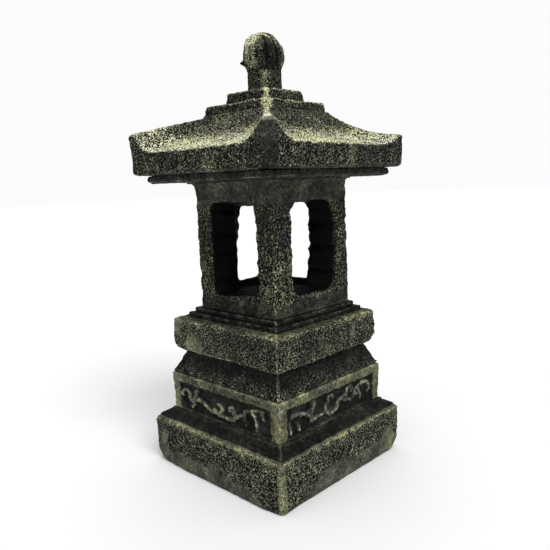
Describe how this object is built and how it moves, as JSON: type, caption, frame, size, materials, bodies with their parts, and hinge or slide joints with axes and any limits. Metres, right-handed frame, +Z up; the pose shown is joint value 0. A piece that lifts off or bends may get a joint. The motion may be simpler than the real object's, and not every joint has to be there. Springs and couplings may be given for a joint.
{
  "type": "stone garden lantern",
  "caption": "Square tabletop stone lantern: slab base, carved pedestal, platform, open fire box with a window on each side, upswept roof and lobed bud finial.",
  "frame": {"origin": "centre of the underside of the base slab", "axes": "+Z up through the finial; +X and +Y square to two window faces"},
  "size_m": [0.1084, 0.1084, 0.2365],
  "materials": {
    "pitted_stone": "pitted, dry-brushed, matt",
    "dark_stone": "smooth, nearly black, matt",
    "carved_stone": "carved, worn pale on the raised parts, matt",
    "roof_stone": "pitted, dry-brushed pale on the slopes, matt",
    "dowel_steel": "brushed"
  },
  "bodies": {
    "base": {"base_slab": "pitted_stone", "plinth_step": "dark_stone", "plinth_dowels": "dowel_steel"},
    "pedestal": {"relief_block": "carved_stone", "waist_block": "dark_stone", "waist_dowels": "dowel_steel"},
    "platform": {"platform_slab": "pitted_stone", "foot_step_lower": "dark_stone", "foot_step_upper": "dark_stone", "foot_dowels": "dowel_steel"},
    "fire_box": {"fire_box": "pitted_stone"},
    "roof": {"eave_slab": "dark_stone", "roof_stone": "roof_stone", "roof_dowels": "dowel_steel", "crown_step_lower": "pitted_stone", "crown_step_upper": "pitted_stone", "crown_dowels": "dowel_steel"},
    "finial": {"finial": "carved_stone"}
  },
  "joints": [
    {"name": "pedestal_lift", "type": "slide", "parent": "base", "child": "pedestal", "axis": [0, 0, 1], "range_m": [0, 0.03]},
    {"name": "platform_lift", "type": "slide", "parent": "pedestal", "child": "platform", "axis": [0, 0, 1], "range_m": [0, 0.03]},
    {"name": "fire_box_lift", "type": "slide", "parent": "platform", "child": "fire_box", "axis": [0, 0, 1], "range_m": [0, 0.03]},
    {"name": "roof_lift", "type": "slide", "parent": "fire_box", "child": "roof", "axis": [0, 0, 1], "range_m": [0, 0.05]},
    {"name": "finial_lift", "type": "slide", "parent": "roof", "child": "finial", "axis": [0, 0, 1], "range_m": [0, 0.035]}
  ]
}
